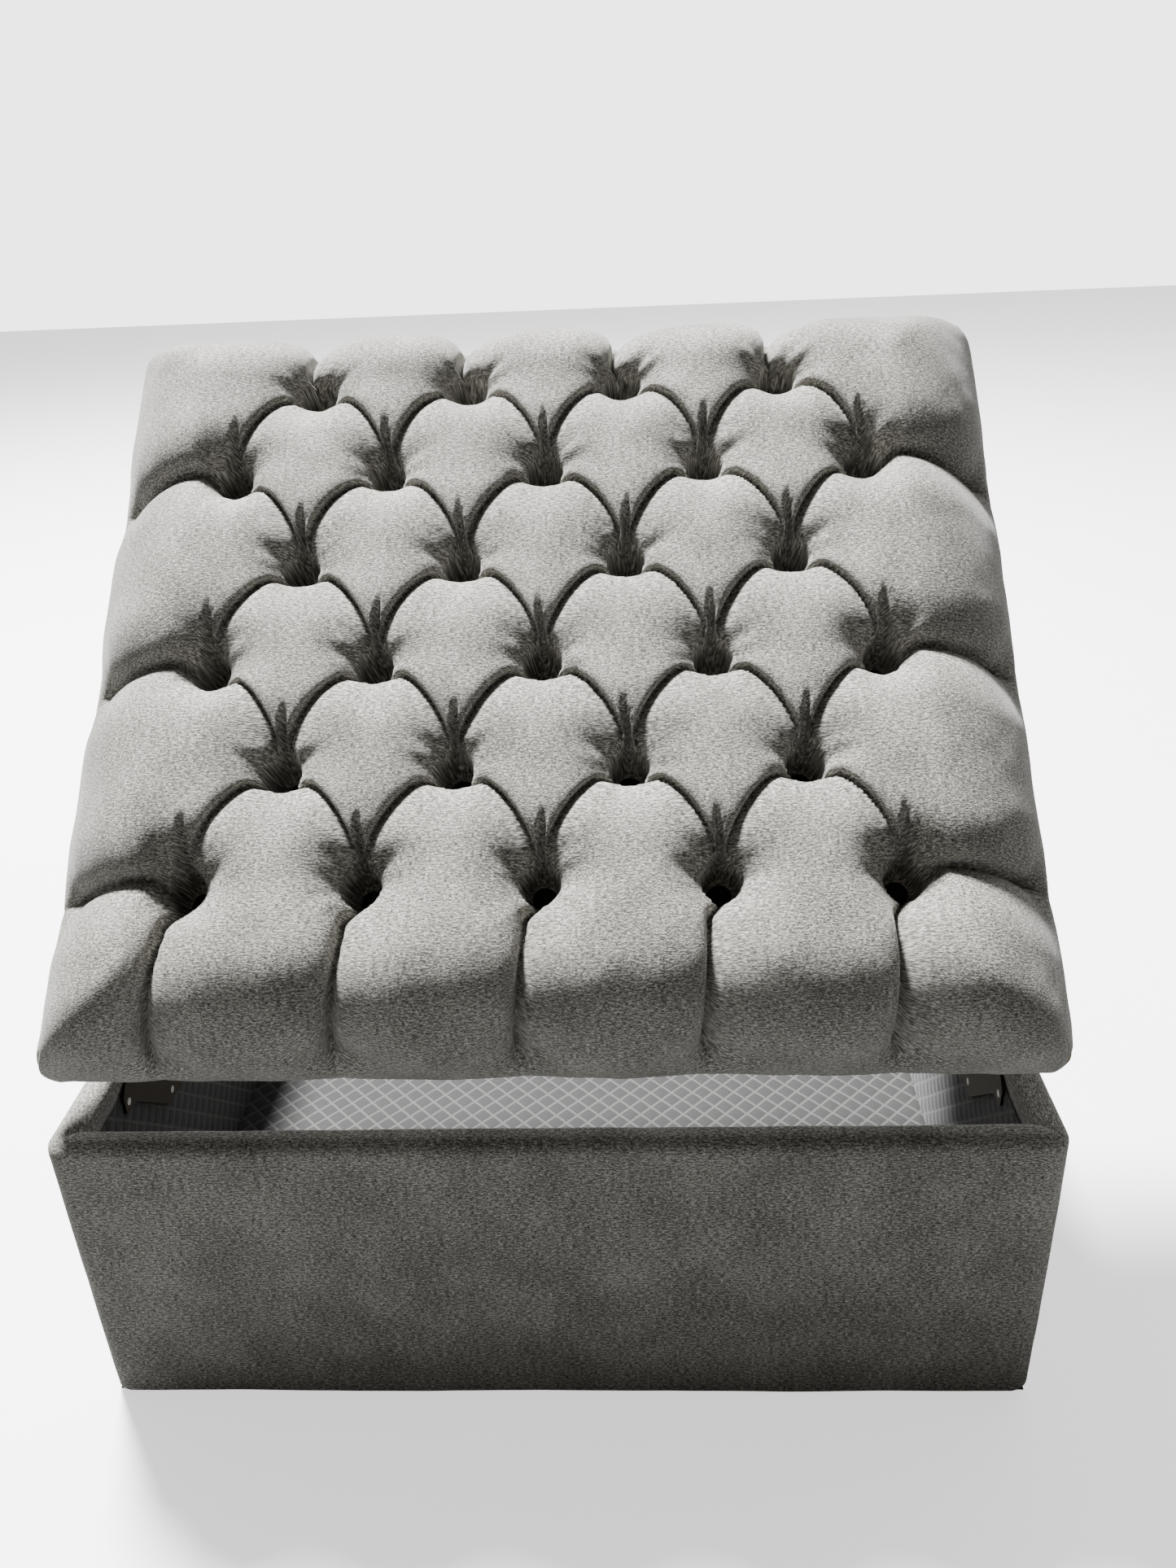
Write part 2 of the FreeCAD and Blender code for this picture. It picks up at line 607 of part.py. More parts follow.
print("wall pivot", hinge_point(0, WALL_PIVOT), "front wall pivot", hinge_point(0, FRONT_WALL_PIVOT))
print("lid pivot at rest", hinge_point(0, LID_PIVOT_REST))
print("swing per degree of tilt: rear %.5f front %.5f" % (REAR_SWING_PER_DEGREE, FRONT_SWING_PER_DEGREE))
PLAY = max(math.dist(front_arm_end(tilt), front_pivot_at(tilt)) for tilt in TRAVEL)
print("front arm length %.2f, most play at its lid pin %.2f" % (FRONT_ARM_LENGTH, PLAY))
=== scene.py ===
import json
import math

import bpy
import numpy as np
from mathutils import Matrix, Vector


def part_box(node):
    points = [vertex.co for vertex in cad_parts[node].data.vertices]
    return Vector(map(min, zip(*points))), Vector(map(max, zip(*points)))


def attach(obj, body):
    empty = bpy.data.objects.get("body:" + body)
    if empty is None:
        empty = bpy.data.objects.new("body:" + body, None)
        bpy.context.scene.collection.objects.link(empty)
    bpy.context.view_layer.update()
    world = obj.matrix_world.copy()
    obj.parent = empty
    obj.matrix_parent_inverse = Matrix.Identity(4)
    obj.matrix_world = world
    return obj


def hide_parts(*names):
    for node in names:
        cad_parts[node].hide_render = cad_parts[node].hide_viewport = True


# Storage ottoman: a padded box and a deep-buttoned lid. Metres, +Z up, +Y the hinge side.
# The lid is shaped closed, over its underside, and then carried to its rest pose.

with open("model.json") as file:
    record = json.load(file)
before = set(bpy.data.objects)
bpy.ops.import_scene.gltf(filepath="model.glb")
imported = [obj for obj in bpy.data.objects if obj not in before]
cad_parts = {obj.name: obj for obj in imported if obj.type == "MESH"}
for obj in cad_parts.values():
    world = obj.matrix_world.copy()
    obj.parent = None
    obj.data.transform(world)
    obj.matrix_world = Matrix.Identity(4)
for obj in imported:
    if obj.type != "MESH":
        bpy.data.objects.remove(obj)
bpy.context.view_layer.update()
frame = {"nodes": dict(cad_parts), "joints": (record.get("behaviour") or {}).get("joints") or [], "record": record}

# --- dimensions, the same as the CAD's --------------------------------------------------------
BOX_HALF = (0.450, 0.385)
BOX_HEIGHT = 0.322
BOX_CORNER = 0.020
WALL = 0.028                 # cover, panel and lining together
LINING_FACE = (0.422, 0.357)
LINING_BOTTOM, LINING_TOP = 0.037, 0.290
FLOOR_TOP = 0.037
QUILT_SIZE = 0.0262          # the lining's diamonds, along a side
LID_HALF = (0.453, 0.389)
LID_CENTRE_Y = -0.004
LID_UNDER = 0.3226
LID_HEIGHT = 0.118
PITCH = 0.155
ROW_SPACING = 0.1048
FIRST_ROW = 0.237            # from the lid's centre, towards the hinge side
ROW_COUNTS = (5, 4, 5, 4, 5, 4)
REST_TILT = math.radians(43)
PIN_CLOSED = (0.343, 0.3006)
PIN_REST = next(j["pos_m"] for j in frame["joints"] if j["name"] == "lid_lift")[1:]

# --- the tufting ------------------------------------------------------------------------------
# Each side's roll: how far in the top goes flat, and how square the roll is.
SIDE_ROLL = (0.112, 1.62)    # along the lid's two ends
FACE_ROLL = (0.095, 2.05)    # along the hinge side and the opening side
EDGE_R = 0.006               # under the widest line
CORNER_R = 0.022
MESH_STEP = 0.0026
WELL_DEPTH = 0.082
WELL_R = 0.0145
WELL_LIP = (0.0178, 0.022)    # radius and depth where the shaft over a button opens out
WELL_SPREAD = 0.024
CREASE_DEPTH = 0.014
CREASE_REACH = 0.036
CREASE_LINE = (0.008, 0.0024)  # the sharp line at the bottom of a fold: depth and width
CREASE_ARCH = 0.56           # from a straight fold, 0, to a quarter of an ellipse, 1
FOLD_START = (0.013, 0.014)  # where a fold begins beside its upper button
FOLD_END = (0.011, 0.014)    # where it ends beside its lower one
PILLOW_POWER = 1.85
PLEAT_DEPTH = 0.030          # the border's pleats
PLEAT_REACH = 0.066
PLEAT_LINE = (0.010, 0.0028)
PLEAT_LEAN = 0.36
SPIKE_LENGTH = 0.066         # the spear-shaped tuck above a button
SPIKE_DEPTH = 0.048
FOLD_LEAN = 0.72             # how far a fold leans under its neighbour, for its depth
GATHER_DEPTH = 0.0011        # small wrinkles round a button
CROWN_DROP = 0.003           # the diamonds' crests below the border tufts'


# --- mesh helpers -----------------------------------------------------------------------------
def grid_quads(index, flip):
    """The four corners of each cell in a grid of numbered points."""
    quads = np.stack([index[:-1, :-1], index[1:, :-1], index[1:, 1:], index[:-1, 1:]], -1)
    quads = quads.reshape(-1, 4)
    return quads[:, ::-1] if flip else quads


def surface(name, points, uv, close_v=False, flip=False):
    """A smooth quad mesh through a grid of points, with its fabric coordinates in metres."""
    rows, columns = points.shape[:2]
    index = np.arange(rows * columns).reshape(rows, columns)
    if close_v:
        index = np.hstack([index, index[:, :1]])
    quads = grid_quads(index, flip)
    corners = grid_quads(np.arange(index.size).reshape(index.shape), flip)
    mesh = bpy.data.meshes.new(name)
    mesh.vertices.add(rows * columns)
    mesh.vertices.foreach_set("co", points.reshape(-1).astype(np.float32))
    mesh.loops.add(quads.size)
    mesh.loops.foreach_set("vertex_index", quads.reshape(-1).astype(np.int32))
    mesh.polygons.add(len(quads))
    mesh.polygons.foreach_set("loop_start", np.arange(0, quads.size, 4, dtype=np.int32))
    mesh.polygons.foreach_set("loop_total", np.full(len(quads), 4, np.int32))
    mesh.polygons.foreach_set("use_smooth", np.ones(len(quads), bool))
    layer = mesh.uv_layers.new(name="fabric")
    corner_uv = uv.reshape(-1, 2)[corners.reshape(-1)]
    layer.data.foreach_set("uv", corner_uv.reshape(-1).astype(np.float32))
    mesh.update()
    mesh.validate()
    piece = bpy.data.objects.new(name, mesh)
    bpy.context.scene.collection.objects.link(piece)
    return piece


def waves(x, y, size, seed):
    """Smooth random values from -1 to 1, with bumps about size across."""
    lattice = np.random.RandomState(seed).uniform(-1, 1, (64, 64))
    x, y = x / size + 1000.0, y / size + 1000.0
    i, j = np.floor(x).astype(int), np.floor(y).astype(int)
    s, t = x - i, y - j
    s, t = s * s * (3 - 2 * s), t * t * (3 - 2 * t)
    i, j, next_i, next_j = i % 64, j % 64, (i + 1) % 64, (j + 1) % 64
    near = lattice[i, j] * (1 - s) + lattice[next_i, j] * s
    far = lattice[i, next_j] * (1 - s) + lattice[next_i, next_j] * s
    return near * (1 - t) + far * t


def ramp(x, low, high):
    """A smooth step from 0 at low to 1 at high. It falls instead where high is the smaller."""
    t = np.clip((x - low) / (high - low), 0, 1)
    return t * t * (3 - 2 * t)


def lid_to_rest(points):
    """Carries points of the closed lid to its rest pose."""
    c, s = math.cos(REST_TILT), math.sin(REST_TILT)
    y, z = points[..., 1] - PIN_CLOSED[0], points[..., 2] - PIN_CLOSED[1]
    moved = points.copy()
    moved[..., 1] = PIN_REST[0] + c * y + s * z
    moved[..., 2] = PIN_REST[1] - s * y + c * z
    return moved


# --- the tufted lid ---------------------------------------------------------------------------
def side_profile(roll):
    """Arc length, inset and height along the lid's side, from its widest line to its flat top."""
    crown_inset, power = roll
    angle = np.linspace(0, math.pi / 2, 600)
    height = EDGE_R + (LID_HEIGHT - EDGE_R) * np.sin(angle) ** (2 / power)
    inset = crown_inset * (1 - np.cos(angle) ** (2 / power))
    length = np.concatenate([[0], np.cumsum(np.hypot(np.diff(inset), np.diff(height)))])
    return length, inset, height


def buttons():
    """Each button's row, number in the row, and place on the lid's fabric laid flat."""
    for row, count in enumerate(ROW_COUNTS):
        for i in range(count):
            yield row, i, (i - (count - 1) / 2) * PITCH, FIRST_ROW - row * ROW_SPACING


def arched(upper, lower, steps=7):
    """A fold from one button to the next: level where it leaves the upper, steep into the lower."""
    side = math.copysign(1, lower[0] - upper[0])
    x0, y0 = upper[0] + FOLD_START[0] * side, upper[1] + FOLD_START[1]
    x1, y1 = lower[0] - FOLD_END[0] * side, lower[1] - FOLD_END[1]
    points = []
    for t in np.linspace(0, 1, steps + 1):
        along_x = t + CREASE_ARCH * (math.sin(math.pi / 2 * t) - t)
        along_y = t + CREASE_ARCH * (1 - math.cos(math.pi / 2 * t) - t)
        points.append((x0 + (x1 - x0) * along_x, y0 + (y1 - y0) * along_y))
    return points


def creases(reach_x, reach_y):
    """Every fold line as (points, kind), on the lid's fabric laid flat. +v is the hinge side."""
    places = {(row, i): (x, y) for row, i, x, y in buttons()}
    lines = []
    for (row, i), (x, y) in places.items():
        for (other, j), (x2, y2) in places.items():
            if other == row + 1 and abs(abs(x2 - x) - PITCH / 2) < 0.001:
                lines.append((arched((x2, y2), (x, y)), "diagonal"))
        if row == 0:
            lines.append(([(x, y), (x + 0.018 + 0.04 * x, reach_y)], "pleat"))
        if row == len(ROW_COUNTS) - 1:
            lines.append(([(x, y), (x * 1.03, -reach_y)], "pleat"))
        if ROW_COUNTS[row] == 5 and i in (0, 4):
            lines.append(([(x, y), (math.copysign(reach_x, x), y)], "pleat"))
        if row < len(ROW_COUNTS) - 1:
            lean = 0.004 * math.sin(5.1 * row + 2.3 * i)
            lines.append(([(x, y), (x + lean, y - SPIKE_LENGTH)], "spike"))
    return lines


def fold_section(distance, depth, reach, line):
    """A fold's depth beside its line: a pillow's side, and a sharp line at the bottom."""
    x = np.clip(1 - distance / reach, 0, 1)
    side = 1 - (1 - x ** PILLOW_POWER) ** (1 / PILLOW_POWER)
    return depth * side + line[0] * np.exp(-distance / line[1])


def nearest_on(points, u, v):
    """For each place: the distance to a fold line, how far along it, its length, its direction."""
    best = np.full_like(u, 9.0)
    along, tangent_u, tangent_v = np.zeros_like(u), np.zeros_like(u), np.zeros_like(u)
    run = 0.0
    for (x0, y0), (x1, y1) in zip(points[:-1], points[1:]):
        length = math.hypot(x1 - x0, y1 - y0)
        tx, ty = (x1 - x0) / length, (y1 - y0) / length
        reached = np.clip((u - x0) * tx + (v - y0) * ty, 0, length)
        off = np.hypot(u - x0 - reached * tx, v - y0 - reached * ty)
        closer = off < best
        best = np.where(closer, off, best)
        along = np.where(closer, run + reached, along)
        tangent_u, tangent_v = np.where(closer, tx, tangent_u), np.where(closer, ty, tangent_v)
        run += length
    return best, along, run, tangent_u, tangent_v


def window(across, deep, points, margin):
    """The part of the grid near a fold line."""
    return tuple(slice(np.searchsorted(axis, min(values) - margin),
                       np.searchsorted(axis, max(values) + margin))
                 for axis, values in zip((across, deep), zip(*points)))


def tuft_depth(across, deep, height, reach_x, reach_y):
    """How far the fabric lies below the plain padded shape, and how far its folds lean in u and v."""
    u, v = np.meshgrid(across, deep, indexing="ij")
    total, lean_u, lean_v = np.zeros_like(u), np.zeros_like(u), np.zeros_like(u)
    spikes = np.zeros_like(u)
    nearest, turn, which = np.full_like(u, 9.0), np.zeros_like(u), np.zeros_like(u)
    for number, (row, i, x, y) in enumerate(buttons()):
        r = np.hypot(u - x, v - y)
        closer = r < nearest
        nearest = np.where(closer, r, nearest)
        turn = np.where(closer, np.arctan2(v - y, u - x), turn)
        which = np.where(closer, number, which)
        total += (WELL_LIP[1] * np.exp(-np.maximum(r - WELL_LIP[0], 0) / WELL_SPREAD)) ** 2
    low_edge = ramp(height, 0.016, 0.050)
    away = ramp(nearest, 0.014, 0.034)
    for points, kind in creases(reach_x, reach_y):
        part_of = window(across, deep, points, 0.075)
        off, along, length, tangent_u, tangent_v = nearest_on(points, u[part_of], v[part_of])
        low, clear = low_edge[part_of], away[part_of]
        if kind == "diagonal":
            end = np.minimum(along, length - along)
            depth = CREASE_DEPTH + 0.010 * np.exp(-end / 0.016)
            part = fold_section(off, depth, CREASE_REACH, CREASE_LINE)
            lean = FOLD_LEAN * clear * np.minimum(part, CREASE_DEPTH) * ramp(off, 0.024, 0.0)
            side = np.sign(points[-1][0] - points[0][0])
            lean_u[part_of] += lean * side * tangent_v
            lean_v[part_of] -= lean * np.abs(tangent_u)
        elif kind == "pleat":
            depth = (PLEAT_DEPTH + 0.030 * np.exp(-along / 0.022)) * (0.10 + 0.90 * low)
            part = fold_section(off, depth, PLEAT_REACH, (PLEAT_LINE[0] * low, PLEAT_LINE[1]))
            lean = PLEAT_LEAN * clear * np.minimum(part, PLEAT_DEPTH) * ramp(off, 0.030, 0.0)
            runs_to_face = abs(points[1][1] - points[0][1]) > abs(points[1][0] - points[0][0])
            if runs_to_face:
                lean_u[part_of] += lean
            else:
                lean_v[part_of] -= lean
        else:
            left = 1 - along / length
            width = 0.0130 * left ** 1.3 + 0.0012
            inside = np.clip(1 - off / width, 0, 1)
            spikes[part_of] += SPIKE_DEPTH * left ** 1.1 * inside ** 0.55
            continue
        total[part_of] += part ** 2
    shaft = (WELL_DEPTH - WELL_LIP[1]) * (1 - ramp(nearest, WELL_R, WELL_LIP[0]))
    in_field = np.minimum(0.335 - np.abs(u), np.minimum(0.262 - v, v + 0.312))
    total = np.sqrt(total) + shaft + spikes + CROWN_DROP * ramp(in_field, -0.02, 0.06)
    ring = np.exp(-((nearest - 0.030) / 0.014) ** 2)
    gathers = np.cos(7 * turn + 1.7 * which) + 0.7 * np.cos(11 * turn + 2.9 * which)
    total += GATHER_DEPTH * ring * gathers * (0.35 + 0.65 * ramp(-np.sin(turn), 0.0, 0.6))
    total += 0.0016 * waves(u, v, 0.070, 3) + 0.0005 * waves(u, v, 0.022, 5)
    over_board = 0.0022 + WELL_DEPTH * ramp(height, 0.017, 0.075)
    return np.minimum(total, np.minimum(WELL_DEPTH, over_board)), lean_u, lean_v


def padded_shape(u, v, reach_x, reach_y):
    """The plain padded lid: where a point of the fabric laid flat comes to lie."""
    rise = LID_HEIGHT - EDGE_R
    insets, falls = [], []
    for side, roll in ((reach_x - np.abs(u), SIDE_ROLL), (reach_y - np.abs(v), FACE_ROLL)):
        length, inset, height = side_profile(roll)
        insets.append(np.interp(side, length, inset) + np.maximum(side - length[-1], 0))
        falls.append(1 - (np.interp(side, length, height) - EDGE_R) / rise)
    (inset_u, inset_v), (fall_u, fall_v) = insets, falls
    lowest = np.maximum(fall_u, fall_v)
    power = 2.6 + 14 * lowest ** 3
    fall = np.clip((fall_u ** power + fall_v ** power) ** (1 / power), 0, 1)
    corner_u, corner_v = np.maximum(CORNER_R - inset_u, 0), np.maximum(CORNER_R - inset_v, 0)
    shrink = np.maximum(corner_u, corner_v) / np.maximum(np.hypot(corner_u, corner_v), 1e-9)
    both = (corner_u > 0) & (corner_v > 0)
    inset_u = np.where(both, CORNER_R - corner_u * shrink, inset_u)
    inset_v = np.where(both, CORNER_R - corner_v * shrink, inset_v)
    x = np.sign(u) * (LID_HALF[0] - inset_u)
    y = np.sign(v) * (LID_HALF[1] - inset_v)
    return np.stack([x, y + LID_CENTRE_Y, LID_HEIGHT - rise * fall], -1)


def make_tufted_lid():
    reach_x = side_profile(SIDE_ROLL)[0][-1] + LID_HALF[0] - SIDE_ROLL[0]
    reach_y = side_profile(FACE_ROLL)[0][-1] + LID_HALF[1] - FACE_ROLL[0]
    across = np.linspace(-reach_x, reach_x, int(2 * reach_x / MESH_STEP) | 1)
    deep = np.linspace(-reach_y, reach_y, int(2 * reach_y / MESH_STEP) | 1)
    u, v = np.meshgrid(across, deep, indexing="ij")
    plain = padded_shape(u, v, reach_x, reach_y)
    depth, lean_u, lean_v = tuft_depth(across, deep, plain[..., 2], reach_x, reach_y)
    hold = ramp(np.minimum(reach_x - np.abs(u), reach_y - np.abs(v)), 0.0, 0.02)
    leant_u = u + hold * (np.clip(u + lean_u, -reach_x, reach_x) - u)
    leant_v = v + hold * (np.clip(v + lean_v, -reach_y, reach_y) - v)

    def shape(add_u=0.0, add_v=0.0):
        return padded_shape(np.clip(leant_u + add_u, -reach_x, reach_x),
                            np.clip(leant_v + add_v, -reach_y, reach_y), reach_x, reach_y)

    step = 0.004
    base = shape()
    normal = np.cross(shape(add_u=step) - shape(add_u=-step), shape(add_v=step) - shape(add_v=-step))
    normal /= np.maximum(np.linalg.norm(normal, axis=-1, keepdims=True), 1e-12)
    points = base - depth[..., None] * normal
    points[..., 2] += LID_UNDER
    lid = surface("tufted_lid", lid_to_rest(points), np.stack([u, v], -1))
    return lid, points, (u, v)


def rim_loop(points):
    """The outermost points of a grid, once round."""
    return np.concatenate([points[:-1, 0], points[-1, :-1], points[:0:-1, -1], points[0, :0:-1]])


def make_lid_welt(points, uv):
    """The cover's lower edge: round under the widest line and in under the board."""
    loop = rim_loop(points)
    flat_uv = rim_loop(np.stack(uv, -1))
    ahead, behind = np.roll(loop, -6, 0), np.roll(loop, 6, 0)
    inward = np.stack([-(ahead - behind)[:, 1], (ahead - behind)[:, 0]], -1)
    inward /= np.maximum(np.linalg.norm(inward, axis=-1, keepdims=True), 1e-9)
    rings, coords = [], []
    section = [(0, 0)] + [(EDGE_R * (1 - math.cos(a)), -EDGE_R * math.sin(a))
                          for a in (0.35, 0.7, 1.05, 1.35)]
    section += [(0.008, -EDGE_R + 0.0004), (0.014, -EDGE_R + 0.0004), (0.019, -EDGE_R + 0.0006)]
    run = 0.0
    for step, (into, down) in enumerate(section):
        ring = loop.copy()
        ring[:, :2] += into * inward
        ring[:, 2] += down
        rings.append(ring)
        if step:
            run += math.hypot(into - section[step - 1][0], down - section[step - 1][1])
        coords.append(flat_uv * (1 + run / 0.5))
    rings, coords = np.array(rings), np.array(coords)
    coords = np.concatenate([coords, coords[:, :1]], axis=1)
    return surface("lid_cover_edge", lid_to_rest(rings), coords, close_v=True)


# --- the box ----------------------------------------------------------------------------------
def outline(half_x, half_y, inset, corner, straight_step=0.006, arc_steps=14):
    """A rounded rectangle, with the same number of points whatever the inset."""
    radius = max(corner - inset, 0.0006)
    cx, cy = half_x - inset - radius, half_y - inset - radius
    nx, ny = int(2 * half_x / straight_step), int(2 * half_y / straight_step)
    points = []
    for centre, start, end, count in (
        ((cx, cy), 0, (-cx, cy), nx), ((-cx, cy), 1, (-cx, -cy), ny),
        ((-cx, -cy), 2, (cx, -cy), nx), ((cx, -cy), 3, (cx, cy), ny),
    ):
        for k in range(arc_steps):
            a = math.pi / 2 * (start + k / arc_steps)
            points.append((centre[0] + radius * math.cos(a), centre[1] + radius * math.sin(a)))
        a = math.pi / 2 * (start + 1)
        shift = (radius * math.cos(a), radius * math.sin(a))
        for k in range(count):
            t = k / count
            points.append((centre[0] + (end[0] - centre[0]) * t + shift[0],
                           centre[1] + (end[1] - centre[1]) * t + shift[1]))
    return np.array(points)


def box_section():
    """The box cover's section, as insets from its side and heights, from under the box inward."""
    section = [(0.040, 0.0046), (0.024, 0.0046), (0.014, 0.0048)]
    foot_r, outer_r = 0.007, 0.013
    section += [(foot_r * (1 - math.sin(a)), 0.0116 - foot_r * math.cos(a))
                for a in np.linspace(0.1, 1.5, 7)]
    section += [(0.0, z) for z in np.linspace(0.016, BOX_HEIGHT - 0.016, 48)]
    section += [(outer_r * (1 - math.cos(a)), BOX_HEIGHT - outer_r + outer_r * math.sin(a))
                for a in np.linspace(0.15, math.pi / 2, 9)]
    section.append((0.0185, BOX_HEIGHT + 0.0002))
    section += [(WALL - 0.0080 + 0.0080 * math.sin(a), BOX_HEIGHT - 0.010 + 0.010 * math.cos(a))
                for a in np.linspace(0.1, math.pi / 2, 8)]
    # Its lower edge is tucked in behind the linings.
    section += [(WALL - 0.0026 * ramp(k, 2, 4.5), BOX_HEIGHT - 0.012 - 0.0042 * k)
                for k in range(1, 9)]
    return section


def make_box_cover():
    """One skin: in under the box, up its sides, over the padded rim and down inside."""
    section = box_section()
    side_line = outline(*BOX_HALF, 0, BOX_CORNER)
    around = np.concatenate([[0], np.cumsum(np.hypot(*np.diff(side_line, axis=0).T))])
    rings, coords, run = [], [], 0.0
    for step, (inset, z) in enumerate(section):
        x, y = outline(*BOX_HALF, inset, BOX_CORNER).T
        height = np.full_like(x, z)
        depth_x, depth_y = BOX_HALF[0] - np.abs(x), BOX_HALF[1] - np.abs(y)
        on_end = depth_x < depth_y
        over_rim = inset > 0.0139
        outside = 1.0 if not over_rim and z > 0.006 else 0.0
        lift = math.sin(math.pi * min(z / BOX_HEIGHT, 1)) ** 0.8 * outside
        across = np.where(on_end, y / BOX_HALF[1], x / BOX_HALF[0])
        bulge = 0.0055 * lift * (1 - np.abs(across) ** 4)
        place = np.where(on_end, y + np.sign(x) * 2.0, x + np.sign(y) * 4.0)
        soft = 0.0008 * waves(place, height, 0.090, 11) + 0.0003 * waves(place, height, 0.030, 12)
        out = bulge + soft * outside
        direction_x = np.where(on_end, np.sign(x), 0.0)
        direction_y = np.where(on_end, 0.0, np.sign(y))
        mitre = np.exp(-((depth_x - depth_y) / 0.0022) ** 2) * ramp(inset, 0.006, 0.016)
        ring = np.stack([x + direction_x * out, y + direction_y * out, height - 0.0016 * mitre], -1)
        if over_rim and z > 0.1:
            ring[:, 2] += 0.0007 * waves(place, np.full_like(place, inset * 3), 0.045, 13) - 0.0005
        rings.append(ring)
        if step:
            run += math.hypot(inset - section[step - 1][0], z - section[step - 1][1])
        coords.append(np.stack([around, np.full_like(around, run)], -1))
    rings, coords = np.array(rings), np.array(coords)
    closing = coords[:, :1].copy()
    closing[:, 0, 0] = coords[0, -1, 0] + 0.006
    coords = np.concatenate([coords, closing], axis=1)
    return surface("box_cover_padded", rings, coords, close_v=True, flip=True)


def quilt_relief(u, v):
    """Diamond quilting: raised pads between stitched lines."""
    a, b = (u + v) / QUILT_SIZE, (u - v) / QUILT_SIZE
    return np.abs(np.sin(math.pi * a) * np.sin(math.pi * b)) ** 0.35


def make_lining(name, origin, along, up, inward, width, height, step=0.0030):
    """A quilted lining on one inner face of the box."""
    nu, nv = max(int(width / step), 2), max(int(height / step), 2)
    u, v = np.meshgrid(np.linspace(0, width, nu), np.linspace(0, height, nv), indexing="ij")
    origin, along, up, inward = (np.array(x, float) for x in (origin, along, up, inward))
    hem = np.minimum(np.minimum(u, width - u), np.minimum(v, height - v))
    puff = 0.0017 * quilt_relief(u - width / 2, v - height / 2) * ramp(hem, 0.0, 0.006)
    puff = puff + 0.0008 * waves(u, v, 0.11, 21) - 0.0012
    points = origin + u[..., None] * along + v[..., None] * up + puff[..., None] * inward
    outward = np.cross(along, up) @ inward
    return surface(name, points, np.stack([u - width / 2, v - height / 2], -1), flip=outward < 0)


def sheet_grid(half_x, half_y, centre_y, z):
    """A thin cloth stapled flat under a board, puckered along its turned hem."""
    nu, nv = int(2 * half_x / 0.008), int(2 * half_y / 0.008)
    u, v = np.meshgrid(np.linspace(-half_x, half_x, nu), np.linspace(-half_y, half_y, nv),
                       indexing="ij")
    hem = np.minimum(half_x - np.abs(u), half_y - np.abs(v))
    pucker = 0.0002 * np.cos(2 * math.pi * (u + v) / 0.030) * np.exp(-((hem - 0.006) / 0.008) ** 2)
    return np.stack([u, v + centre_y, z + pucker], -1), np.stack([u, v], -1)


# --- materials --------------------------------------------------------------------------------
def new_material(name):
    """A new material with one Principled shader, and its node tree."""
    material = bpy.data.materials.new(name)
    material.use_nodes = True
    nodes, links = material.node_tree.nodes, material.node_tree.links
    nodes.clear()
    out = nodes.new("ShaderNodeOutputMaterial")
    shader = nodes.new("ShaderNodeBsdfPrincipled")
    links.new(shader.outputs["BSDF"], out.inputs["Surface"])
    return material, nodes, links, shader


def coordinates(nodes, links, scale, use_uv):
    """Scaled fabric coordinates, or the object's own where it has none."""
    source = nodes.new("ShaderNodeTexCoord")
    mapping = nodes.new("ShaderNodeMapping")
    mapping.inputs["Scale"].default_value = scale
    links.new(source.outputs["UV" if use_uv else "Object"], mapping.inputs["Vector"])
    return mapping.outputs["Vector"]


def noise(nodes, links, vector, scale, detail, roughness=0.6):
    node = nodes.new("ShaderNodeTexNoise")
    node.inputs["Scale"].default_value = scale
    node.inputs["Detail"].default_value = detail
    node.inputs["Roughness"].default_value = roughness
    links.new(vector, node.inputs["Vector"])
    return node.outputs["Fac"]


def blend_values(nodes, links, operation, first, second):
    """A Math node. Each operand is a socket or a plain number."""
    node = nodes.new("ShaderNodeMath")
    node.operation = operation
    for socket, value in zip(node.inputs, (first, second)):
        if isinstance(value, (int, float)):
            socket.default_value = value
        else:
            links.new(value, socket)
    return node.outputs["Value"]


def colour_ramp(nodes, links, value, stops):
    node = nodes.new("ShaderNodeValToRGB")
    ramp_stops = node.color_ramp.elements
    while len(ramp_stops) < len(stops):
        ramp_stops.new(0.5)
    for element, (place, colour) in zip(ramp_stops, stops):
        element.position = place
        element.color = (*colour, 1)
    links.new(value, node.inputs["Fac"])
    return node.outputs["Color"]


def bump(nodes, links, shader, height, distance, strength):
    node = nodes.new("ShaderNodeBump")
    node.inputs["Distance"].default_value = distance
    node.inputs["Strength"].default_value = strength
    links.new(height, node.inputs["Height"])
    links.new(node.outputs["Normal"], shader.inputs["Normal"])


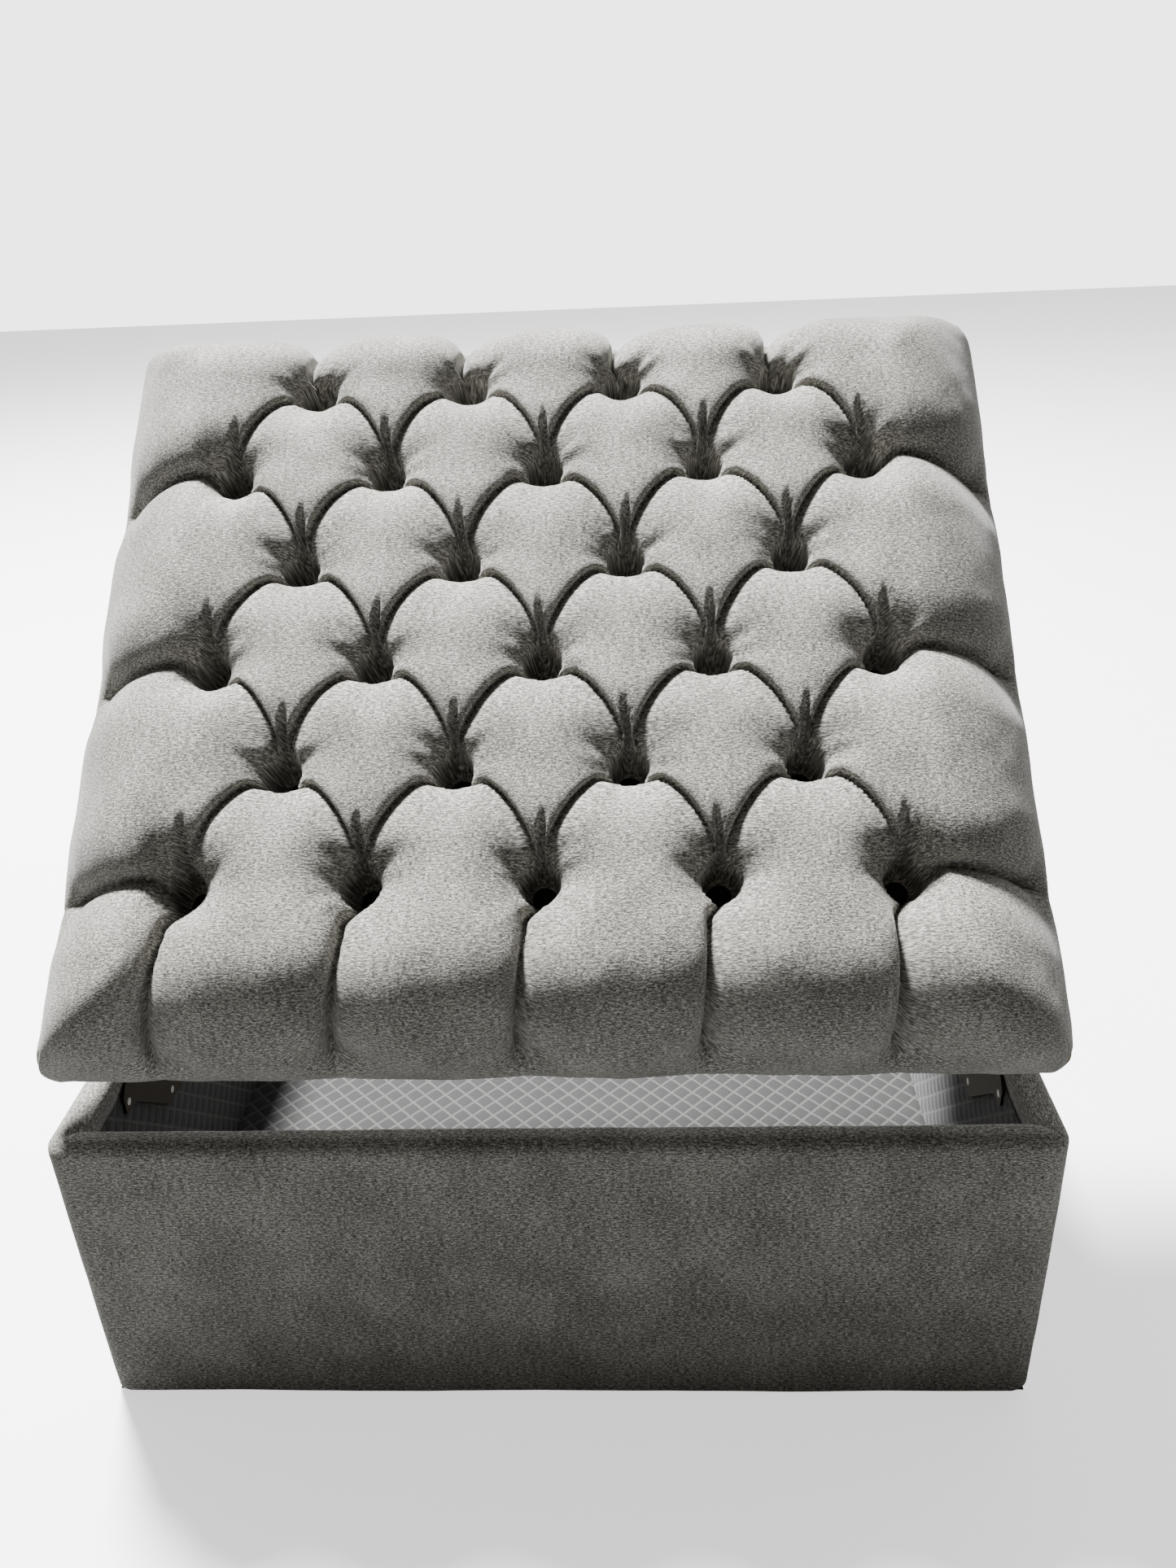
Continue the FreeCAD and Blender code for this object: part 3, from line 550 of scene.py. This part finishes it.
def chenille(name, dark, middle, light, use_uv=True, sheen=0.28):
    """Heathered soft weave: mottled yarn, short flecks along the width, a velvet sheen."""
    material, nodes, links, shader = new_material(name)
    vectors = [coordinates(nodes, links, scale, use_uv) for scale in (
        (420, 900, 1 if use_uv else 420), (190, 620, 1 if use_uv else 190), (16, 16, 16))]
    yarn = noise(nodes, links, vectors[0], 1.0, 2.0)
    fleck = noise(nodes, links, vectors[1], 1.0, 3.0, 0.7)
    cloud = noise(nodes, links, vectors[2], 1.0, 3.0)
    mixed = blend_values(nodes, links, "ADD", blend_values(nodes, links, "MULTIPLY", yarn, 0.45),
                         blend_values(nodes, links, "MULTIPLY", fleck, 0.45))
    mixed = blend_values(nodes, links, "ADD", mixed,
                         blend_values(nodes, links, "MULTIPLY", cloud, 0.10))
    colour = colour_ramp(nodes, links, mixed, ((0.41, dark), (0.50, middle), (0.60, light)))
    links.new(colour, shader.inputs["Base Color"])
    roughness = blend_values(nodes, links, "MULTIPLY", fleck, 0.25)
    links.new(blend_values(nodes, links, "ADD", roughness, 0.68), shader.inputs["Roughness"])
    shader.inputs["Specular IOR Level"].default_value = 0.25
    shader.inputs["Sheen Weight"].default_value = sheen
    shader.inputs["Sheen Roughness"].default_value = 0.35
    shader.inputs["Sheen Tint"].default_value = (0.95, 0.94, 0.92, 1)
    bump(nodes, links, shader, mixed, 0.0008, 0.75)
    return material


def quilted(name, ground, line):
    """Lining cloth with a printed and stitched diamond lattice."""
    material, nodes, links, shader = new_material(name)
    vector = coordinates(nodes, links, (1, 1, 1), True)
    split = nodes.new("ShaderNodeSeparateXYZ")
    links.new(vector, split.inputs["Vector"])
    lines = []
    for operation in ("ADD", "SUBTRACT"):
        total = blend_values(nodes, links, operation, split.outputs["X"], split.outputs["Y"])
        scaled = blend_values(nodes, links, "MULTIPLY", total, math.pi / QUILT_SIZE)
        wave = blend_values(nodes, links, "SINE", scaled, 0)
        wave = blend_values(nodes, links, "ABSOLUTE", wave, 0)
        lines.append(blend_values(nodes, links, "LESS_THAN", wave, 0.24))
    lattice = blend_values(nodes, links, "MAXIMUM", *lines)
    weave = noise(nodes, links, coordinates(nodes, links, (900, 900, 1), True), 1.0, 2.0)
    ground_colour = colour_ramp(nodes, links, weave,
                                ((0.35, tuple(0.82 * c for c in ground)), (0.65, ground)))
    line_colour = colour_ramp(nodes, links, weave,
                              ((0.35, tuple(0.88 * c for c in line)), (0.65, line)))
    mix = nodes.new("ShaderNodeMix")
    mix.data_type = "RGBA"
    links.new(lattice, mix.inputs["Factor"])
    links.new(ground_colour, mix.inputs["A"])
    links.new(line_colour, mix.inputs["B"])
    links.new(mix.outputs["Result"], shader.inputs["Base Color"])
    roughness = blend_values(nodes, links, "MULTIPLY", weave, 0.2)
    links.new(blend_values(nodes, links, "ADD", roughness, 0.7), shader.inputs["Roughness"])
    shader.inputs["Sheen Weight"].default_value = 0.15
    bump(nodes, links, shader, weave, 0.0004, 0.6)
    return material


def plain_cloth(name, dark, light):
    """Thin plain-woven cloth."""
    material, nodes, links, shader = new_material(name)
    weave = noise(nodes, links, coordinates(nodes, links, (1100, 1100, 1), True), 1.0, 1.0)
    links.new(colour_ramp(nodes, links, weave, ((0.35, dark), (0.65, light))),
              shader.inputs["Base Color"])
    shader.inputs["Roughness"].default_value = 0.9
    shader.inputs["Sheen Weight"].default_value = 0.2
    bump(nodes, links, shader, weave, 0.0003, 0.6)
    return material


def metal(name, dark, light, low, high, stretch=(60, 60, 60)):
    """Bare or coated steel, its roughness from low to high with the grain."""
    material, nodes, links, shader = new_material(name)
    grain = noise(nodes, links, coordinates(nodes, links, stretch, False), 3.0, 5.0, 0.65)
    links.new(colour_ramp(nodes, links, grain, ((0.35, dark), (0.65, light))),
              shader.inputs["Base Color"])
    roughness = blend_values(nodes, links, "MULTIPLY", grain, high - low)
    links.new(blend_values(nodes, links, "ADD", roughness, low), shader.inputs["Roughness"])
    shader.inputs["Metallic"].default_value = 1.0
    bump(nodes, links, shader, grain, 0.0002, 0.3)
    return material


def wood(name):
    material, nodes, links, shader = new_material(name)
    grain = noise(nodes, links, coordinates(nodes, links, (3, 60, 60), False), 1.5, 6.0, 0.65)
    stops = ((0.30, (0.36, 0.22, 0.11)), (0.55, (0.56, 0.38, 0.21)), (0.75, (0.68, 0.50, 0.30)))
    links.new(colour_ramp(nodes, links, grain, stops), shader.inputs["Base Color"])
    shader.inputs["Roughness"].default_value = 0.65
    bump(nodes, links, shader, grain, 0.0004, 0.4)
    return material


def moulded(name, dark, light, roughness):
    """A fine even grain, for plastic, foam and twine."""
    material, nodes, links, shader = new_material(name)
    grain = noise(nodes, links, coordinates(nodes, links, (500, 500, 500), False), 1.0, 3.0)
    links.new(colour_ramp(nodes, links, grain, ((0.35, dark), (0.65, light))),
              shader.inputs["Base Color"])
    shader.inputs["Roughness"].default_value = roughness
    bump(nodes, links, shader, grain, 0.0002, 0.4)
    return material


GREY = ((0.050, 0.048, 0.041), (0.180, 0.175, 0.157), (0.50, 0.490, 0.452))
COVER = chenille("cover_chenille", *GREY)
# The buttons' cloth is near-black, far darker than the cover it is cut from: painted shade of their deep wells.
SHADE_DARK_BUTTON_CLOTH = chenille("button_chenille_painted_shade", (0.006, 0.006, 0.006), (0.013, 0.013, 0.012),
                        (0.028, 0.027, 0.026), use_uv=False, sheen=0.05)
LINING = quilted("lining_quilt", (0.018, 0.0178, 0.0175), (0.072, 0.071, 0.068))
LINING_CLOTH = plain_cloth("lining_plain", (0.022, 0.0215, 0.0205), (0.050, 0.049, 0.047))
DUST_CLOTH = plain_cloth("dust_cloth", (0.012, 0.012, 0.012), (0.035, 0.035, 0.035))
# The hinge steel is darkened far below its own tan yellow-zinc colour: painted shade of the box's dark interior.
SHADE_DARKENED_HINGE_STEEL = metal("hinge_steel", (0.030, 0.024, 0.015), (0.065, 0.052, 0.033), 0.45, 0.62,
                    (40, 40, 220))
PIN_STEEL = metal("pin_steel", (0.48, 0.48, 0.48), (0.68, 0.68, 0.67), 0.22, 0.36)
SCREW_STEEL = metal("screw_steel", (0.40, 0.39, 0.36), (0.60, 0.58, 0.54), 0.28, 0.44)
WOOD = wood("panel_wood")
FOAM = moulded("foam", (0.72, 0.66, 0.46), (0.84, 0.79, 0.60), 0.95)
PLASTIC = moulded("glide_plastic", (0.02, 0.02, 0.02), (0.045, 0.045, 0.045), 0.5)
TWINE = moulded("twine", (0.55, 0.50, 0.40), (0.75, 0.70, 0.60), 0.9)

SLOT_MATERIALS = {
    "box_fabric": SHADE_DARK_BUTTON_CLOTH, "lid_fabric": SHADE_DARK_BUTTON_CLOTH, "button_fabric": SHADE_DARK_BUTTON_CLOTH,
    "lining_fabric": LINING_CLOTH, "dust_cloth": DUST_CLOTH, "foam": FOAM, "panel_wood": WOOD,
    "hinge_steel": SHADE_DARKENED_HINGE_STEEL, "pin_steel": PIN_STEEL, "screw_steel": SCREW_STEEL,
    "glide_plastic": PLASTIC, "twine": TWINE,
}
for entry in frame["record"]["subparts"]:
    piece = frame["nodes"][entry["node"]]
    piece.data.materials.clear()
    piece.data.materials.append(SLOT_MATERIALS[entry["material_slot"]])


# --- the soft pieces --------------------------------------------------------------------------
def dress(piece, material, body, slot, *nodes):
    """Gives a new piece its material and body, and hides the CAD nodes that it stands for. Its slot is not used.
    """
    piece.data.materials.append(material)
    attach(piece, body)
    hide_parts(*nodes)
    return piece


lid, lid_points, lid_uv = make_tufted_lid()
dress(lid, COVER, "lid", "lid_fabric", "tufted_cover", "foam_pad")
edge = dress(make_lid_welt(lid_points, lid_uv), COVER, "lid", "lid_fabric", "tufted_cover")

points, uv = sheet_grid(LID_HALF[0] - 0.010, LID_HALF[1] - 0.010, LID_CENTRE_Y, LID_UNDER + 0.0006)
underside = surface("lid_underside_cloth", lid_to_rest(points), uv, flip=True)
dress(underside, LINING_CLOTH, "lid", "lining_fabric", "lid_underside_cover")

cover = dress(make_box_cover(), COVER, "box", "box_fabric", "box_cover")

# The linings run 2 mm past their faces, so that they meet in the corners.
fx, fy = LINING_FACE[0] + 0.002, LINING_FACE[1] + 0.002
wall_height = LINING_TOP - LINING_BOTTOM
for side, origin, along, up, inward, width, height in (
    ("rear", (fx, LINING_FACE[1], LINING_BOTTOM),
     (-1, 0, 0), (0, 0, 1), (0, -1, 0), 2 * fx, wall_height),
    ("front", (-fx, -LINING_FACE[1], LINING_BOTTOM),
     (1, 0, 0), (0, 0, 1), (0, 1, 0), 2 * fx, wall_height),
    ("left", (-LINING_FACE[0], fy, LINING_BOTTOM),
     (0, -1, 0), (0, 0, 1), (1, 0, 0), 2 * fy, wall_height),
    ("right", (LINING_FACE[0], -fy, LINING_BOTTOM),
     (0, 1, 0), (0, 0, 1), (-1, 0, 0), 2 * fy, wall_height),
    ("floor", (-fx, -fy, FLOOR_TOP),
     (1, 0, 0), (0, 1, 0), (0, 0, 1), 2 * fx, 2 * fy),
):
    quilt = make_lining(f"lining_quilt_{side}", origin, along, up, inward, width, height)
    dress(quilt, LINING, "box", "lining_fabric", f"lining_{side}")

low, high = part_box("dust_cover")
points, uv = sheet_grid((high.x - low.x) / 2, (high.y - low.y) / 2, 0.0, low.z + 0.0006)
dust = surface("dust_cloth_sheet", points, uv, flip=True)
dress(dust, DUST_CLOTH, "box", "dust_cloth", "dust_cover")


# --- stage, light and camera ------------------------------------------------------------------
def add_floor():
    """A pale floor, brighter to look at than the light that it throws back up."""
    mesh = bpy.data.meshes.new("floor")
    half = 14.0
    corners = [(-half, -half, 0), (half, -half, 0), (half, half, 0), (-half, half, 0)]
    mesh.from_pydata(corners, [], [(0, 1, 2, 3)])
    floor = bpy.data.objects.new("floor", mesh)
    bpy.context.scene.collection.objects.link(floor)
    material, nodes, links, shader = new_material("pale_floor")
    tint = noise(nodes, links, coordinates(nodes, links, (2, 2, 2), False), 1.0, 2.0)
    seen = colour_ramp(nodes, links, tint, ((0.3, (0.88, 0.88, 0.88)), (0.7, (0.91, 0.91, 0.91))))
    seen_directly = nodes.new("ShaderNodeLightPath").outputs["Is Camera Ray"]
    colour = nodes.new("ShaderNodeMix")
    colour.data_type = "RGBA"
    links.new(seen_directly, colour.inputs["Factor"])
    colour.inputs["A"].default_value = (0.20, 0.20, 0.20, 1)
    links.new(seen, colour.inputs["B"])
    links.new(colour.outputs["Result"], shader.inputs["Base Color"])
    shader.inputs["Emission Color"].default_value = (1, 1, 1, 1)
    glow = blend_values(nodes, links, "MULTIPLY", seen_directly, 1.1)
    links.new(glow, shader.inputs["Emission Strength"])
    shader.inputs["Roughness"].default_value = 0.8
    mesh.materials.append(material)


def add_light(name, place, target, size, energy, colour=(1, 1, 1)):
    """A soft round light that faces a point."""
    data = bpy.data.lights.new(name, "AREA")
    data.shape = "DISK"
    data.size = size
    data.energy = energy
    data.color = colour
    light = bpy.data.objects.new(name, data)
    bpy.context.scene.collection.objects.link(light)
    light.location = place
    light.rotation_euler = (Vector(target) - Vector(place)).to_track_quat("-Z", "Y").to_euler()


def add_camera():
    """Stands behind the hinge side and looks down at the open lid."""
    yaw, pitch, roll = math.radians(-2.89), math.radians(25.92), math.radians(-2.48)
    forward = Vector((-math.sin(yaw) * math.cos(pitch), -math.cos(yaw) * math.cos(pitch),
                      -math.sin(pitch)))
    level = Vector((-math.cos(yaw), math.sin(yaw), 0))
    up = level.cross(forward)
    right = math.cos(roll) * level + math.sin(roll) * up
    top = -math.sin(roll) * level + math.cos(roll) * up
    data = bpy.data.cameras.new("camera")
    data.sensor_fit = "VERTICAL"
    data.sensor_height = 36.0
    data.lens = 27.03
    data.clip_start = 0.02
    camera = bpy.data.objects.new("camera", data)
    bpy.context.scene.collection.objects.link(camera)
    turn = Matrix((right, top, -forward)).transposed().to_4x4()
    camera.matrix_world = Matrix.Translation((-0.0882, 1.159, 1.0449)) @ turn
    bpy.context.scene.camera = camera


def add_world():
    """Soft light, strongest from the opening side, in front of an even pale backdrop."""
    world = bpy.data.worlds.new("studio")
    world.use_nodes = True
    background = world.node_tree.nodes["Background"]
    background.inputs["Color"].default_value = (1, 1, 1, 1)
    nodes, links = world.node_tree.nodes, world.node_tree.links
    split = nodes.new("ShaderNodeSeparateXYZ")
    links.new(nodes.new("ShaderNodeTexCoord").outputs["Generated"], split.inputs["Vector"])
    fade = nodes.new("ShaderNodeMapRange")
    fade.interpolation_type = "SMOOTHSTEP"
    for socket, value in (("From Min", 0.30), ("From Max", -0.95), ("To Min", 0.04), ("To Max", 1.5)):
        fade.inputs[socket].default_value = value
    links.new(split.outputs["Y"], fade.inputs["Value"])
    backdrop = nodes.new("ShaderNodeMix")
    links.new(nodes.new("ShaderNodeLightPath").outputs["Is Camera Ray"], backdrop.inputs["Factor"])
    links.new(fade.outputs["Result"], backdrop.inputs["A"])
    backdrop.inputs["B"].default_value = 3.6
    links.new(backdrop.outputs["Result"], background.inputs["Strength"])
    bpy.context.scene.world = world


add_floor()
add_world()
add_light("key", (1.7, -2.3, 6.2), (0, 0.1, 0.5), 1.3, 3000)
add_light("fill", (0.4, 3.4, 2.4), (0, 0, 0.4), 2.6, 9, (1.0, 0.92, 0.80))
add_camera()
